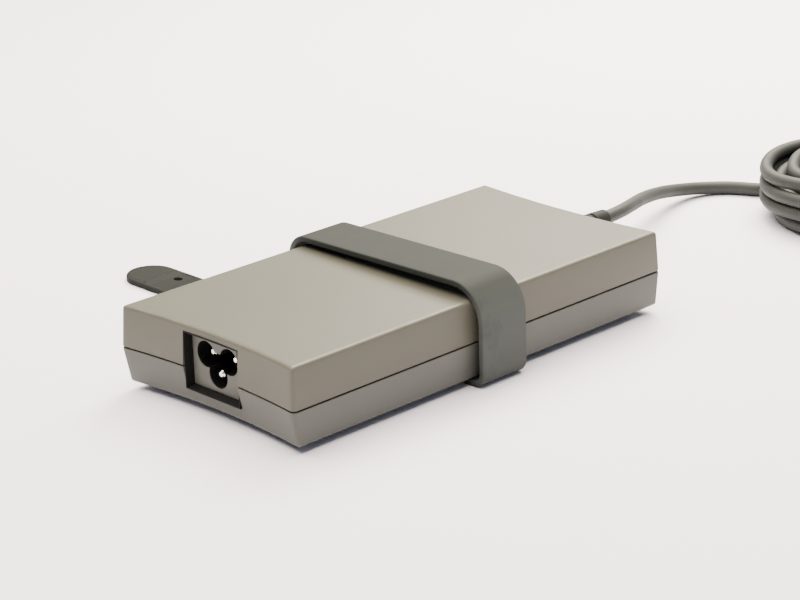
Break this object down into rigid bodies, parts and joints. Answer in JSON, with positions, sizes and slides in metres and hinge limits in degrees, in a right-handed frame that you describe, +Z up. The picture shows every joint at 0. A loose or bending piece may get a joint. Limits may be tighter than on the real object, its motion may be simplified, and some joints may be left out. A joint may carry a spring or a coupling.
{
  "type": "laptop power adapter",
  "caption": "Slim rectangular laptop power adapter with a cloverleaf mains inlet, a sliding rubber cable strap, a coiled output lead and a barrel plug.",
  "frame": {"origin": "on the floor, under the middle of the casing", "axes": "+X from the mains inlet to the output lead, +Y to the strap's tail, +Z up"},
  "size_m": [0.3114, 0.2144, 0.0317],
  "materials": {
    "case_top": "fine satin texture",
    "case_bottom": "fine satin texture",
    "inlet_black": "matt black moulding",
    "inlet_grey": "matt grey moulding",
    "contact_metal": "nickel plated",
    "board": "solder mask",
    "film": "insulating film",
    "aluminium": "mill finish",
    "ferrite": "dull ferrite",
    "copper": "enamelled wire",
    "capacitor": "shrink sleeve",
    "yellow": "polyester",
    "blue": "dipped epoxy",
    "chip": "epoxy package",
    "pale": "ceramic and moulded case",
    "pad": "soft silicone pad",
    "foot_rubber": "matt rubber",
    "plate": "blank printed plate",
    "strap_rubber": "soft matt rubber",
    "lead_rubber": "soft satin jacket",
    "tie": "woven hook and loop",
    "plug_black": "soft moulded plug",
    "plug_metal": "nickel plated"
  },
  "bodies": {
    "adapter": {"bottom_cover": "case_bottom", "top_cover": "case_top", "inlet_housing": "inlet_black", "inlet_face": "inlet_grey", "inlet_core": "inlet_black", "line_pin": "contact_metal", "neutral_pin": "contact_metal", "earth_pin": "contact_metal", "circuit_board": "board", "insulating_sheet": "film", "heat_spreader": "aluminium", "fuse": "pale", "surge_varistor": "blue", "filter_choke_core": "ferrite", "filter_choke_winding": "copper", "x_capacitor": "yellow", "y_capacitors": "blue", "bridge_rectifier": "chip", "pfc_choke_core": "ferrite", "pfc_choke_winding": "copper", "bulk_capacitor": "capacitor", "primary_heatsink": "aluminium", "switch_transistors": "chip", "transformer_core": "ferrite", "transformer_winding": "yellow", "secondary_heatsink": "aluminium", "output_rectifiers": "chip", "output_capacitors": "capacitor", "optocoupler": "pale", "control_chips": "chip", "thermal_pads": "pad", "output_wires": "plug_black", "rubber_feet": "foot_rubber", "rating_plate": "plate", "cable_gland": "lead_rubber", "dc_cable": "lead_rubber", "dc_cable_coil": "lead_rubber", "dc_cable_end": "lead_rubber", "cable_tie": "tie", "plug_relief": "plug_black", "plug_body": "plug_black", "plug_insulator": "inlet_black", "plug_barrel": "plug_metal", "plug_centre_pin": "contact_metal"},
    "strap": {"strap_band": "strap_rubber", "strap_stud": "strap_rubber"},
    "tail": {"strap_tail": "strap_rubber"}
  },
  "joints": [
    {"name": "strap_slide", "type": "slide", "parent": "adapter", "child": "strap", "axis": [1, 0, 0], "range_m": [-0.045, 0.045]},
    {"name": "tail_lift", "type": "hinge", "parent": "strap", "child": "tail", "pos_m": [0.0024, 0.0436, 0.001], "axis": [1, 0, 0], "range_deg": [0, 80]}
  ]
}
